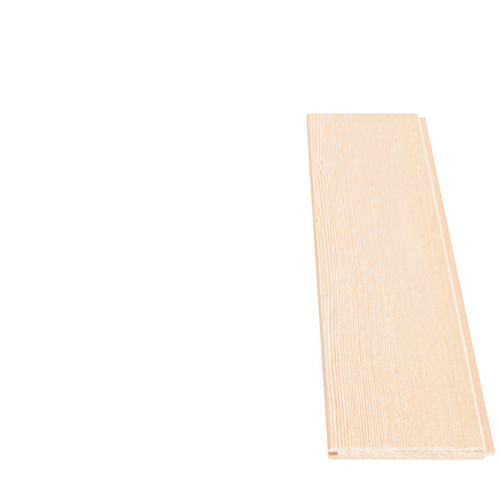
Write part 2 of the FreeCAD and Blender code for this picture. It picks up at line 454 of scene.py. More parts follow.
def section_grid():
    """The section as a grid of points, columns by rows, with no number where the section has no wood."""
    split = next(across for name, across, _, _ in corners if name == "groove_high")
    back = flat_row("back_left", "back_right", 0.0, split)
    face = flat_row("face_left", "bevel_top", thickness, split)
    groove_bottom = rim_points("groove_high", "groove_low", TONGUE_ROWS)[::-1]
    right_low = rim_through("back_right", "right_ease", "tongue_foot", EASE_ROWS, LOWER_ROWS - EASE_ROWS)
    right_high = rim_through("tongue_root", "bevel_foot", "bevel_top", FOOT_ROWS, UPPER_ROWS - FOOT_ROWS)
    left_low = rim_through("lower_lip", "left_ease", "back_left", LOWER_ROWS - EASE_ROWS, EASE_ROWS)[::-1]
    left_high = rim_through("face_left", "lip_ease", "lip_inner", EASE_ROWS, UPPER_ROWS - EASE_ROWS)[::-1]
    root = straight(right_low[-1], right_high[0], TONGUE_ROWS)
    body_left = np.vstack([
        straight(back[groove_column], groove_bottom[0], LOWER_ROWS),
        groove_bottom[1:-1],
        straight(groove_bottom[-1], face[groove_column], UPPER_ROWS),
    ])
    body_right = np.vstack([right_low, root[1:-1], right_high])
    grid = np.full((last_column + 1, last_row + 1, 2), np.nan)
    grid[groove_column:root_column + 1] = blended_patch(
        back[groove_column:], face[groove_column:], body_left, body_right)
    grid[:groove_column + 1, :low_row + 1] = blended_patch(
        back[:groove_column + 1],
        rim_points("groove_low", "lower_lip", LIP_COLUMNS)[::-1],
        left_low,
        body_left[:low_row + 1])
    grid[:groove_column + 1, high_row:] = blended_patch(
        rim_points("lip_inner", "groove_high", LIP_COLUMNS),
        face[:groove_column + 1],
        left_high,
        body_left[high_row:])
    grid[root_column:, low_row:high_row + 1] = blended_patch(
        rim_points("tongue_foot", "tip_low", TONGUE_COLUMNS),
        rim_points("tip_high", "tongue_root", TONGUE_COLUMNS)[::-1],
        root,
        rim_points("tip_low", "tip_high", TONGUE_ROWS))
    return grid


section = section_grid()
print("section points", int(np.isfinite(section[..., 0]).sum()))

# %% Follow the rim
RIM_STRETCHES = [
    ("back", (0, 0), (root_column, 0)),
    ("right_low", (root_column, 0), (root_column, low_row)),
    ("tongue_low", (root_column, low_row), (last_column, low_row)),
    ("tongue_tip", (last_column, low_row), (last_column, high_row)),
    ("tongue_top", (last_column, high_row), (root_column, high_row)),
    ("bevel", (root_column, high_row), (root_column, last_row)),
    ("face", (root_column, last_row), (0, last_row)),
    ("lip_ease", (0, last_row), (0, last_row - EASE_ROWS)),
    ("upper_lip", (0, last_row - EASE_ROWS), (0, high_row)),
    ("groove_high", (0, high_row), (groove_column, high_row)),
    ("groove_bottom", (groove_column, high_row), (groove_column, low_row)),
    ("groove_low", (groove_column, low_row), (0, low_row)),
    ("lower_lip", (0, low_row), (0, 0)),
]


def follow_rim():
    """Column, row and stretch number of each rim point, anticlockwise, each stretch without its last
    point."""
    columns, rows, stretch = [], [], []
    for number, (_, start, end) in enumerate(RIM_STRETCHES):
        count = max(abs(end[0] - start[0]), abs(end[1] - start[1]))
        columns.append(np.linspace(start[0], end[0], count + 1).astype(int)[:-1])
        rows.append(np.linspace(start[1], end[1], count + 1).astype(int)[:-1])
        stretch.append(np.full(count, number))
    return np.concatenate(columns), np.concatenate(rows), np.concatenate(stretch)


rim_column, rim_row, rim_stretch = follow_rim()
stretch_number = {stretch[0]: number for number, stretch in enumerate(RIM_STRETCHES)}
rim_count = len(rim_column)
print("rim points", rim_count)

# %% [markdown]
# ## Carrying the section along the length
# The long sides are the rim carried along the board, like a moulding through a plane. Stations along
# the length are a few millimetres apart, because grain changes slowly that way, and close together at
# the two ends, where saw chips are. Both ends are then closed with the sheet of cells.

# %% Build the closed skin
STATIONS = 94
END_STEPS = np.array([0.0, 0.25, 0.6, 1.1, 1.9, 3.0])


def station_places():
    """Distances along the board: short steps at both ends and even ones between."""
    inner = half_length - END_STEPS[-1]
    middle = np.linspace(-inner, inner, STATIONS)
    return np.concatenate([-half_length + END_STEPS[:-1], middle, (half_length - END_STEPS[:-1])[::-1]])


stations = station_places()
station_count = len(stations)
rim_xz = section[rim_column, rim_row]
is_rim = np.zeros(section.shape[:2], bool)
is_rim[rim_column, rim_row] = True
inner_column, inner_row = np.nonzero(np.isfinite(section[..., 0]) & ~is_rim)
inner_xz = section[inner_column, inner_row]
inner_count = len(inner_column)


def skin_points():
    """Rest places of all points: the rim at every station, then the inner points of both ends."""
    across, along = np.meshgrid(rim_xz[:, 0], stations)
    height = np.broadcast_to(rim_xz[:, 1], across.shape)
    long_sides = np.stack([across, along, height], axis=-1).reshape(-1, 3)
    ends = [
        np.stack([inner_xz[:, 0], np.full(inner_count, place), inner_xz[:, 1]], axis=1)
        for place in (stations[0], stations[-1])
    ]
    return np.vstack([long_sides, *ends])


def cell_numbers(end):
    """The point number of each node of the section's grid, at the near end (0) or the far end (1)."""
    numbers = np.full(section.shape[:2], -1)
    first_of_rim = (station_count - 1) * rim_count * end
    numbers[rim_column, rim_row] = first_of_rim + np.arange(rim_count)
    first_inside = station_count * rim_count + inner_count * end
    numbers[inner_column, inner_row] = first_inside + np.arange(inner_count)
    return numbers


def skin_faces():
    """Four point numbers for each face: the long sides, then the cells of the near and the far end."""
    this = np.arange(rim_count)
    following = (this + 1) % rim_count
    first = (np.arange(station_count - 1) * rim_count)[:, None]
    here, ahead = first + this, first + following
    sides = np.stack([here, here + rim_count, ahead + rim_count, ahead], axis=-1)
    wood = np.zeros((last_column, last_row), bool)
    wood[:root_column] = True
    wood[:groove_column, low_row:high_row] = False
    wood[root_column:, low_row:high_row] = True
    column, row = np.nonzero(wood)
    ends = []
    for end in (0, 1):
        numbers = cell_numbers(end)
        around = np.stack([
            numbers[column, row],
            numbers[column + 1, row],
            numbers[column + 1, row + 1],
            numbers[column, row + 1],
        ], axis=1)
        ends.append(around if end == 0 else around[:, ::-1])
    return sides.reshape(-1, 4), ends[0], ends[1]


rest_points = skin_points()
side_faces, near_faces, far_faces = skin_faces()
print(len(rest_points), "points,", 2 * (len(side_faces) + len(near_faces) + len(far_faces)), "triangles")

# %% [markdown]
# ## Growth rings
# The board is cut nearly along the radius of the trunk, so its rings show on the face as straight
# lines. They are wide on the groove side and close up to a fine, nearly plain texture towards the
# tongue. One number per point holds all of that: how many rings lie between the point and a line just
# outside the lip. Its whole part names the ring, and its fraction tells pale spring wood from orange
# summer wood. The number is worked out from the place in the wood, so the lines run on over the edges
# and the sawn ends. Wood changes softly, so a few soft curves come first.

# %% Soft curves
def share_of(value, low, high):
    """How far a value has come on its way from low to high: 0 before it and 1 past it."""
    return np.clip((value - low) / (high - low), 0.0, 1.0)


def smooth_rise(value, low, high):
    """0 below low, 1 above high, and three times the square less twice the cube of the share between."""
    share = share_of(value, low, high)
    return share * share * (3 - 2 * share)


def smooth_fall(value, low, high):
    """1 below low and 0 above high: one less the smooth rise."""
    return 1 - smooth_rise(value, low, high)


def bell(value, middle, width):
    """1 in the middle, and to both sides the exponential of less the squared distance in widths."""
    return np.exp(-((value - middle) / width) ** 2)


print("one width from its middle a bell is still", round(float(bell(1.0, 0.0, 1.0)), 2))

# %% Count the rings
RING_SEED = 11
RING_COUNT = 76
FIRST_RING = 3.5
LAST_RING = 1.9
RING_FADE = 7.0
RING_UNEVEN = 0.1
FIRST_EDGE = -10.2


def ring_edges():
    """Distances from the lip at which rings begin: widths fall from the first to the last by a fading
    exponential, each varied a little, and are added up. The first few rings begin outside the lip."""
    chance = np.random.default_rng(RING_SEED)
    number = np.arange(RING_COUNT)
    width = LAST_RING + (FIRST_RING - LAST_RING) * np.exp(-number / RING_FADE)
    width *= 1 + RING_UNEVEN * chance.uniform(-1.0, 1.0, RING_COUNT)
    return FIRST_EDGE + np.concatenate([[0.0], np.cumsum(width)])


edges_of_rings = ring_edges()
print(RING_COUNT, "rings between", edges_of_rings[0], "and", round(edges_of_rings[-1], 1), "mm from the lip")

# %% Add up soft terms
def everywhere(value):
    """A curve that is 1 at every place."""
    return np.ones_like(value)


def soft_sum(terms, across, along):
    """The sum of soft terms: each is a size times a curve of the place across and a curve of the place
    along, and a curve that isn't named is 1."""
    total = np.zeros_like(along)
    for term in terms.values():
        curve_across, *ends_across = term.get("across", (everywhere,))
        curve_along, *ends_along = term.get("along", (everywhere,))
        total += term["size"] * curve_across(across, *ends_across) * curve_along(along, *ends_along)
    return total


# Places are in millimetres, across from the lip and along from the middle of the board. A rise or fall
# names where it begins and ends, and a bell its middle and width.
GRAIN_SHIFTS = {
    "step": {"size": 3.1, "across": (bell, 15.0, 50.0), "along": (smooth_rise, -112.0, -35.0)},
    "beside_lip": {"size": 0.6, "across": (bell, 13.0, 4.5)},
    "near_corner": {"size": 0.6, "across": (smooth_fall, 6.0, 13.0), "along": (smooth_fall, -140.0, -70.0)},
}
print("soft shifts of the grain:", sorted(GRAIN_SHIFTS))

# %% Let the grain wander
GRAIN_RETURN = {"size": 3.4, "less": 3.6, "across": (6.0, 36.0), "along": (-20.0, 112.0), "power": 1.5}
GRAIN_TURN = {"size": 2.1, "across": (12.0, 24.0), "start": 115.0, "run": 75.0}
NEAR_RIPPLE = {"size": 0.45, "fade": 18.0, "crest": -165.0, "length": 70.0, "along": (-125.0, -95.0)}
RING_LEAN = 0.22
KNOT_OFF_MIDDLE = 0.5
PIN_KNOTS = [
    {"from_lip": 11.3, "along": 121.8, "reach": (3.2, 8.0), "swell": 0.5, "hook": 1.0, "dot": 1.0},
    {"from_lip": 2.7, "along": 41.0, "reach": (2.2, 6.0), "swell": 0.5, "hook": 0.8, "dot": 1.0},
    {"from_lip": 37.0, "along": -45.0, "reach": (3.2, 9.0), "swell": 0.9, "hook": 0.3, "dot": 0.4},
]


def wander(across, along):
    """How far a line of grain strays to the right of its place at the near end.

    The soft shifts are a step to the right about a third of the way along and two small ones beside the
    lip. A slow return to the left is strongest at the lip, a turn to the right grows evenly behind the
    first knot, and a ripple fades away from the lip and from the near end.
    """
    back = GRAIN_RETURN["size"] - GRAIN_RETURN["less"] * smooth_rise(across, *GRAIN_RETURN["across"])
    back = back * share_of(along, *GRAIN_RETURN["along"]) ** GRAIN_RETURN["power"]
    turn = GRAIN_TURN["size"] * smooth_fall(across, *GRAIN_TURN["across"])
    turn = turn * np.maximum((along - GRAIN_TURN["start"]) / GRAIN_TURN["run"], 0.0)
    ripple = NEAR_RIPPLE["size"] * np.exp(-across / NEAR_RIPPLE["fade"])
    ripple = ripple * np.cos(2 * np.pi * (along - NEAR_RIPPLE["crest"]) / NEAR_RIPPLE["length"])
    ripple = ripple * smooth_fall(along, *NEAR_RIPPLE["along"])
    return soft_sum(GRAIN_SHIFTS, across, along) - back + turn + ripple


def knot_places(across, along):
    """For each pin knot, the distances across and along from its middle, in reaches."""
    for knot in PIN_KNOTS:
        aside = (across - knot["from_lip"]) / knot["reach"][0]
        past = (along - knot["along"]) / knot["reach"][1]
        yield knot, aside, past


def grain_distance(points):
    """Where the grain through a point would meet a board with straight grain, counted from the lip:
    the place across, leaned with height, less the wander, less a swelling round each pin knot that is
    fuller on its left."""
    across = points[:, 0] + half_width + RING_LEAN * (thickness - points[:, 2])
    along = points[:, 1]
    distance = across - wander(across, along)
    for knot, aside, past in knot_places(across, along):
        push = knot["swell"] * (aside - KNOT_OFF_MIDDLE) * bell(aside, 0.0, 1.0) * bell(past, 0.0, 1.0)
        distance = distance - knot["reach"][0] * push
    return distance


rest_from_lip = rest_points[:, 0] + half_width
rest_along = rest_points[:, 1]
straight_distance = grain_distance(rest_points)
ring = np.interp(straight_distance, edges_of_rings, np.arange(RING_COUNT + 1, dtype=float))
print("ring numbers run from", round(ring.min(), 2), "to", round(ring.max(), 2))

# %% Say where the rings show
# Each mark is a place across the grain and how plainly the rings show there.
COARSE_MARKS = [
    (-4.0, 0.5), (1.2, 0.5), (3.4, 1.7), (6.0, 1.25), (10.0, 1.15), (15.0, 1.05), (18.5, 0.8),
    (22.0, 1.1), (30.0, 1.0), (33.5, 0.85), (42.0, 1.1), (48.5, 0.45), (54.5, 1.2), (60.0, 0.4),
    (66.0, 0.2), (130.0, 0.15),
]
FADE_ALONG = (smooth_rise, -170.0, 150.0)
FAR_FADE = {
    "past_lip": {"size": 0.5, "across": (smooth_rise, 14.0, 45.0), "along": FADE_ALONG},
    "less_by_tongue": {"size": -0.35, "across": (smooth_rise, 60.0, 76.0), "along": FADE_ALONG},
}
NEAR_ALONG = (smooth_fall, -180.0, -100.0)
NEAR_MIDDLE = {
    "begins": {"size": 0.35, "across": (smooth_rise, 24.0, 34.0), "along": NEAR_ALONG},
    "ends": {"size": -0.35, "across": (smooth_rise, 60.0, 72.0), "along": NEAR_ALONG},
}
NEAR_CLUSTER = {
    "cluster": {"size": 0.4, "across": (bell, 92.0, 4.0), "along": (smooth_fall, -120.0, -50.0)},
}
CALM_LIP = {
    "at_knot": {"size": 0.6, "across": (smooth_fall, 6.0, 9.0), "along": (smooth_rise, 82.0, 100.0)},
    "less_behind": {"size": -0.36, "across": (smooth_fall, 6.0, 9.0), "along": (smooth_rise, 128.0, 144.0)},
}
CALM_KNOT = {"share": 0.8, "width": 0.8, "behind": 0.6}
SHOWN_ON_EASE = 0.3
EASE_TO_FACE = (0.9 * LIP_EASE, 1.4 * LIP_EASE)


def coarse_rings(from_lip, distance, along):
    """How plainly the rings show: the marks, read by the place across the grain.

    Towards the far end they fade, most of all in the middle of the board. At the near end two bands are
    plainer, the middle and a cluster of fine rings beside the tongue. Little shows round each knot, on
    the lip beside the first knot and behind it, and on the eased edge.
    """
    shown = np.interp(distance, *np.array(COARSE_MARKS).T)
    shown = shown * (1 - soft_sum(FAR_FADE, distance, along)) * (1 + soft_sum(NEAR_MIDDLE, distance, along))
    shown = shown + soft_sum(NEAR_CLUSTER, distance, along)
    for _, aside, past in knot_places(from_lip, along):
        round_knot = bell(aside, 0.0, CALM_KNOT["width"]) * bell(past, CALM_KNOT["behind"], 1.0)
        shown = shown * (1 - CALM_KNOT["share"] * round_knot)
    shown = shown * (1 - soft_sum(CALM_LIP, from_lip, along))
    return shown * (SHOWN_ON_EASE + (1 - SHOWN_ON_EASE) * smooth_rise(from_lip, *EASE_TO_FACE))


coarse = coarse_rings(rest_from_lip, straight_distance, rest_along)
print("rings show from", round(coarse.min(), 2), "to", round(coarse.max(), 2))

# %% Lay in darker and paler wood, and painted shade
SLOW_TONES = {
    "by_tongue": {"size": 0.06, "across": (smooth_rise, 82.0, 104.0)},
    "by_lip": {"size": -0.03, "across": (smooth_fall, 14.0, 28.0)},
    "near_end": {"size": 0.1, "along": (smooth_fall, -210.0, -40.0)},
    "far_end": {"size": 0.02, "across": (smooth_rise, 25.0, 45.0), "along": (smooth_rise, 90.0, 170.0)},
    "patch": {"size": 0.05, "across": (smooth_rise, 84.0, 100.0), "along": (bell, 50.0, 80.0)},
}
# Here the second place is the distance from the groove's middle height, in groove heights.
GROOVE_WALL = (smooth_fall, 0.51, 0.58)
GROOVE_END = (smooth_rise, TONGUE_LENGTH + 1.0, TONGUE_LENGTH + 2.0)
# Painted shade: the groove's walls are painted darker where shade falls inside it, but not past the groove's
# bottom, and the lip's eased edge is painted darker as the shadow of the gap between two boards.
PAINTED_WALL_SHADE = {
    "groove": {"size": 0.3, "across": (smooth_rise, 0.3, 2.0), "along": GROOVE_WALL},
    "groove_ends": {"size": -0.3, "across": GROOVE_END, "along": GROOVE_WALL},
    "lip": {"size": 0.2, "across": (smooth_fall, 0.7 * LIP_EASE, LIP_EASE)},
}
# A line of fibres has a place across the grain, a width, and a strength that is below 0 for pale ones.
FIBRE_LINES = [
    (29.7, 0.6, 0.1), (52.3, 0.5, -0.1), (55.2, 0.5, 0.06), (65.7, 1.2, 0.05), (74.4, 0.6, 0.07),
    (76.7, 0.7, -0.05), (92.0, 0.6, -0.05), (93.7, 0.5, 0.06), (98.5, 0.6, 0.1), (100.3, 0.7, -0.06),
    (104.2, 0.7, 0.04),
]
LINES_FADE = {"share": 0.5, "along": (60.0, 160.0)}
# A line beside the bevel has a place from the lip, a width, and its strengths at the near and far end.
# The second, at the tongue's root, is painted shade in that inner corner.
BEVEL_LINES = [(109.6, 0.6, 0.1, 0.1), (114.4, 0.8, 0.14, 0.0)]


def drawn_lines(from_lip, distance, along):
    """Single lines added up, each a bell curve: those of fibres across the grain, weaker towards the far
    end, and those beside the bevel across the board, from their near to their far strength. The one at
    the tongue's root is painted shade."""
    kept = 1 - LINES_FADE["share"] * smooth_rise(along, *LINES_FADE["along"])
    total = np.zeros_like(along)
    for place, width, strength in FIBRE_LINES:
        total += kept * strength * bell(distance, place, width)
    far = smooth_rise(along, -half_length, half_length)
    for place, width, near_strength, far_strength in BEVEL_LINES:
        total += (near_strength + (far_strength - near_strength) * far) * bell(from_lip, place, width)
    return total


groove_foot, groove_roof = groove_flanks(-half_width)
from_groove = np.abs(rest_points[:, 2] - (groove_foot + groove_roof) / 2) / (groove_roof - groove_foot)
# Besides the wood's own darker and paler tone and its single lines, these numbers carry painted shade: in
# the groove, on the lip's eased edge and at the tongue's root.
resin_and_painted_shade = soft_sum(SLOW_TONES, straight_distance, rest_along)
resin_and_painted_shade += drawn_lines(rest_from_lip, straight_distance, rest_along)
resin_and_painted_shade += soft_sum(PAINTED_WALL_SHADE, rest_from_lip, from_groove)
print("resin from", round(resin_and_painted_shade.min(), 2), "to", round(resin_and_painted_shade.max(), 2))

# %% [markdown]
# ## Relief, chips and torn fibres
# A planed face is never quite flat: soft spring wood is pressed under the cutter and lies a few
# hundredths of a millimetre lower than summer wood. The saw leaves the ends rougher. Fibres crumble
# along the top edge and are painted pale there, partly as a painted highlight, and short ones tear
# out below it. All of it only takes wood away, so the board stays inside its box.

# %% Press the face
GRAIN_DEPTH = 0.05
RELIEF_FADE = 60.0
SUMMER_RISE = (0.42, 0.85)
SUMMER_FALL = (0.93, 1.0)
FACE_SKIN = (0.02, 0.01)
LEVEL_MARGIN = 1.5
LEVEL_ROUND_KNOT = 1.6


def summer_wood(number):
    """The share of summer wood at a ring number: it rises through the ring and drops where the next
    begins."""
    part = number % 1.0
    return smooth_rise(part, *SUMMER_RISE) * smooth_fall(part, *SUMMER_FALL)


def face_relief(points):
    """How far the wood of the face is pressed down: the grain depth times the share of spring wood, less
    towards the tongue, where rings are narrow, and nothing at the face's edges and round the knots."""
    from_lip = points[:, 0] + half_width
    bevel_top = cover_width - BEVEL_RUN
    pressed = smooth_rise(points[:, 2], thickness - FACE_SKIN[0], thickness - FACE_SKIN[1])
    pressed = pressed * smooth_rise(from_lip, LIP_EASE, LIP_EASE + LEVEL_MARGIN)
    pressed = pressed * smooth_fall(from_lip, bevel_top - LEVEL_MARGIN, bevel_top)
    for _, aside, past in knot_places(from_lip, points[:, 1]):
        pressed = pressed * (1 - bell(aside, 0.0, LEVEL_ROUND_KNOT) * bell(past, 0.0, LEVEL_ROUND_KNOT))
    return GRAIN_DEPTH * pressed * np.exp(-from_lip / RELIEF_FADE) * (1 - summer_wood(ring))


board_points = rest_points.copy()
board_points[:, 2] -= face_relief(rest_points)
print("the face is pressed by up to", round(float((rest_points - board_points).max()), 3), "mm")

# %% Chip and saw the ends
CHIP_SEED = 5
NEAR_END = {"inward": 1.0, "seed": CHIP_SEED, "chip_depth": 0.35}
FAR_END = {"inward": -1.0, "seed": CHIP_SEED + 1, "chip_depth": 0.06}
END_SKIN = 0.01
CHIP_REACH = 1.1
CHIP_WAVES = 8
WAVE_PACES = (0.5, 1.6)
CHIP_SIZE = 5.0
SAW_DEPTH = 0.12
SAW_SEED_STEP = 20
SAW_WAVES = 12
SAW_SIZE = (1.6, 2.8)


def waves(seed, count, first, second, first_size, second_size):
    """A sum of seeded sine waves of two coordinates, as long on average as the two sizes, between about
    -1 and 1."""
    chance = np.random.default_rng(seed)
    total = np.zeros_like(first)
    for _ in range(count):
        pace = chance.uniform(*WAVE_PACES, 2) * chance.choice([-1.0, 1.0], 2)
        angle = pace[0] * first / first_size + pace[1] * second / second_size
        total += np.sin(2 * np.pi * (angle + chance.uniform()))
    return total / math.sqrt(2.0 * count)


def waves_across(seed, count, across, size):
    """The same waves across the board alone."""
    return waves(seed, count, across, np.zeros_like(across), size, 1.0)


def end_wear(points, inward, seed, chip_depth):
    """How far one end's points move along the board and down.

    A chip on the top edge is the square of waves across the board, and it dies away from the edge both
    ways. The saw's marks are waves over the whole end, and only cut in.
    """
    across, along, height = points.T
    from_end = half_length + inward * along
    chip = share_of(waves_across(seed, CHIP_WAVES, across, CHIP_SIZE), -1.0, 1.0) ** 2
    close = (1 - share_of(from_end, 0.0, CHIP_REACH)) * (1 - share_of(thickness - height, 0.0, CHIP_REACH))
    sawn = share_of(waves(seed + SAW_SEED_STEP, SAW_WAVES, across, height, *SAW_SIZE), -1.0, 1.0)
    chipped = chip_depth * chip * close
    return inward * (chipped + SAW_DEPTH * sawn * (from_end < END_SKIN)), chipped


for end_facts in (NEAR_END, FAR_END):
    moved_along, moved_down = end_wear(rest_points, **end_facts)
    board_points[:, 1] += moved_along
    board_points[:, 2] -= moved_down
print("chips and saw marks go", round(float((board_points - rest_points)[:, 1].max()), 3), "mm deep")

# %% Tear the fibres
TORN_DEPTH = 0.8
# A torn spot has a place from the lip, a depth below the face and a reach.
TORN_SPOTS = [
    (49.2, 3.4, 1.3), (54.0, 3.9, 1.2), (56.6, 3.9, 0.9), (61.8, 3.9, 1.7), (66.2, 3.8, 1.1),
    (70.6, 4.0, 1.3), (86.4, 4.0, 1.9), (89.3, 5.2, 1.0), (99.6, 3.7, 1.6), (105.4, 3.8, 1.8),
    (109.4, 3.8, 1.7), (4.2, 12.7, 1.3), (8.5, 11.7, 1.0), (12.3, 11.8, 0.9), (16.2, 12.8, 1.1),
    (23.4, 9.0, 0.8), (33.7, 12.3, 0.8),
]
SPOT_FLATNESS = 0.6
SPOT_EDGE = (0.35, 1.0)
# A torn row has a depth below the face, and its two ends from the lip.
TORN_ROWS = [(3.9, 46.0, 112.0), (7.8, 44.0, 93.0)]
ROW_SEED = CHIP_SEED + 40
ROW_WAVES = 8
ROW_SIZE = 3.0
ROW_TORN = (0.0, 0.7)
ROW_HEIGHT = 0.6
ROW_FADE = 3.0
ROW_SHARE = 0.6
PALE_REACH = (0.6, 1.0)
FAR_EDGE_DARKER = 0.55
FAR_EDGE_REACH = (1.8, 0.7)


def torn_spots(points):
    """1 in the middle of each torn spot of the near end and 0 outside it; a spot is an ellipse, wider
    than high. Two rows of fainter ones go by waves across the board and a bell curve over the height."""
    from_lip = points[:, 0] + half_width
    below_face = thickness - points[:, 2]
    total = np.zeros(len(points))
    for place, depth, reach in TORN_SPOTS:
        apart = np.hypot((from_lip - place) / reach, (below_face - depth) / (SPOT_FLATNESS * reach))
        total = np.maximum(total, smooth_fall(apart, *SPOT_EDGE))
    for number, (depth, start, end) in enumerate(TORN_ROWS):
        torn = smooth_rise(waves_across(ROW_SEED + number, ROW_WAVES, from_lip, ROW_SIZE), *ROW_TORN)
        within = smooth_rise(from_lip, start, start + ROW_FADE) * smooth_fall(from_lip, end - ROW_FADE, end)
        total = np.maximum(total, ROW_SHARE * within * torn * bell(below_face, depth, ROW_HEIGHT))
    return total * (half_length + points[:, 1] < END_SKIN)


def pale_fibres_and_highlight(points):
    """How pale the crumbled fibres are, partly real and partly a painted highlight: bell curves inwards
    and down from the near end's top edge.
    """
    inwards = bell(half_length + points[:, 1], 0.0, PALE_REACH[0])
    return inwards * bell(thickness - points[:, 2], 0.0, PALE_REACH[1])


def darker_far_edge(points):
    """How much darker the far end's top edge is made: bell curves inwards and down from the top of face
    and tongue.
    """
    across, along, height = points.T
    below_top = thickness - height - TONGUE_DROP * (across > half_width - TONGUE_LENGTH)
    inwards = bell(half_length - along, 0.0, FAR_EDGE_REACH[0])
    return FAR_EDGE_DARKER * inwards * bell(below_top, 0.0, FAR_EDGE_REACH[1])


torn_here = torn_spots(rest_points)
board_points[:, 1] += TORN_DEPTH * torn_here
pale_fibre_and_highlight = pale_fibres_and_highlight(rest_points)
# The torn numbers darken the wood: in the torn spots as painted shade in their hollows, and along the far
# end's top edge.
torn_shade_and_dark_far_edge = np.maximum(torn_here, darker_far_edge(rest_points))
print("deepest move", round(float(np.abs(board_points - rest_points).max()), 3), "mm")

# %% Put the board together
MATERIAL_OF_STRETCH = {"face": 0, "lip_ease": 0, "bevel": 1}
MILLED, SAWN = 2, 3
SHARP_ANGLE = math.radians(38)


def finish_numbers():
    """The material number of each face: by rim stretch on the long sides, and sawn on both ends."""
    by_stretch = np.full(len(RIM_STRETCHES), MILLED)
    for name, number in MATERIAL_OF_STRETCH.items():
        by_stretch[stretch_number[name]] = number
    of_sides = np.tile(by_stretch[rim_stretch], station_count - 1)
    of_ends = np.full(len(near_faces) + len(far_faces), SAWN)
    return np.concatenate([of_sides, of_ends]).astype(np.int32)


def build_board(point_numbers):
    """One closed mesh of quads that carries the named numbers on every point."""
    mesh = bpy.data.meshes.new("tongue_and_groove_board")
    faces = np.vstack([side_faces, near_faces, far_faces])
    mesh.vertices.add(len(board_points))
    mesh.vertices.foreach_set("co", (board_points * MM).astype(np.float32).ravel())
    mesh.loops.add(faces.size)
    mesh.loops.foreach_set("vertex_index", faces.ravel().astype(np.int32))
    mesh.polygons.add(len(faces))
    mesh.polygons.foreach_set("loop_start", np.arange(0, faces.size, 4, dtype=np.int32))
    mesh.polygons.foreach_set("material_index", finish_numbers())
    mesh.update(calc_edges=True)
    for name, values in point_numbers.items():
        attribute = mesh.attributes.new(name, "FLOAT", "POINT")
        attribute.data.foreach_set("value", values.astype(np.float32))
    mesh.polygons.foreach_set("use_smooth", np.ones(len(faces), bool))
    mesh.set_sharp_from_angle(angle=SHARP_ANGLE)
    made = bpy.data.objects.new("tongue_and_groove_board", mesh)
    bpy.context.scene.collection.objects.link(made)
    return made


board = build_board(
    {"ring": ring, "coarse": coarse, "resin_and_painted_shade": resin_and_painted_shade, "pale": pale_fibre_and_highlight, "torn": torn_shade_and_dark_far_edge})
print("board mesh", len(board.data.vertices), "points", len(board.data.polygons), "faces, whole:",
      not board.data.validate())

# %% [markdown]
# ## The colour of the wood
# Fresh softwood has one line of colours, from nearly white spring wood over peach to the orange of
# resin-rich summer wood. Nearly all that the board shows is a place on that line, so one ramp serves
# every finish, and a finish mainly works out one number, its tone. Only milled edges and torn or flaked
# wood lean a little off the line, and get a slight tint: on milled edges and torn spots that tint is
# painted shade. The ring number gives the stripes. Noise that is stretched along the fibres breaks them
# up, and a slower noise lets the tone drift over the board.

# %% From tone to colour
TONE_RAMP = [
    (0.00, (255, 251, 246)),
    (0.08, (254, 240, 229)),
    (0.40, (249, 227, 204)),
    (0.70, (248, 214, 176)),
    (1.00, (243, 198, 146)),
]
PLAIN_GLOSS = 0.35


def tone_colour(tree, tone):
    """The ramp from spring wood to the orange of summer wood, read at a tone."""
    ramp = add_node(tree, "ShaderNodeValToRGB", {"Fac": tone})
    marks = ramp.color_ramp.elements
    while len(marks) < len(TONE_RAMP):
        marks.new(0.5)
    for mark, (place, colour) in zip(marks, TONE_RAMP):
        mark.position = place
        mark.color = screen_colour(*colour)
    return ramp.outputs["Color"]


def tinted(tree, colour, tint):
    """A colour multiplied by a tint, each of red, green and blue by itself."""
    values = {0: 1.0, 6: colour, 7: tint}
    return add_node(tree, "ShaderNodeMix", values, data_type="RGBA", blend_type="MULTIPLY").outputs[2]


def wood_shader(tree, output, colour, roughness, bump_height, bump_depth_mm, gloss=PLAIN_GLOSS):
    """Bare wood under one shader: no coating, a fine bump along the fibres."""
    bump = add_node(tree, "ShaderNodeBump",
                    {"Strength": 1.0, "Distance": bump_depth_mm * MM, "Height": bump_height})
    shader = add_node(tree, "ShaderNodeBsdfPrincipled", {
        "Base Color": colour,
        "Roughness": roughness,
        "Normal": bump.outputs[0],
        "Specular IOR Level": gloss,
    })
    tree.links.new(shader.outputs[0], output.inputs["Surface"])


print("tones", [place for place, _ in TONE_RAMP])

# %% Fibres and rings
# The size of a noise is its width across the fibres and its length along them, in millimetres.
RING_BLUR = (0.9, 14.0)
RING_BREAKS = (1.6, 36.0)
RING_PATCHES = (12.0, 60.0)
RING_RISE = (0.1, 0.75)
RING_FALL = (0.84, 1.0)
FAINTEST_RING = 0.45
RINGS_DIFFER = 0.6
FAINTEST_BREAK = 0.3
BREAKS_DIFFER = 1.4


def fibre_noise(tree, size, detail=2.0):
    """Noise on Object coordinates whose features have a size across, along and up. Without a third size
    they are as high as wide."""
    across_along_up = (*size, size[0])[:3]
    scale = tuple(1 / (reach * MM) for reach in across_along_up)
    mapped = add_node(tree, "ShaderNodeMapping", {"Vector": object_place(tree), "Scale": scale})
    values = {"Vector": mapped.outputs[0], "Scale": 1.0, "Detail": detail}
    return add_node(tree, "ShaderNodeTexNoise", values).outputs[0]


def centred(tree, noise, strength):
    """A noise from 0 to 1 turned into a push to either side of nothing."""
    return calc(tree, "MULTIPLY", calc(tree, "SUBTRACT", noise, 0.5), strength)


def mask(tree, name):
    """One of the board's own numbers, read from its points."""
    return add_node(tree, "ShaderNodeAttribute", attribute_name=name).outputs["Fac"]


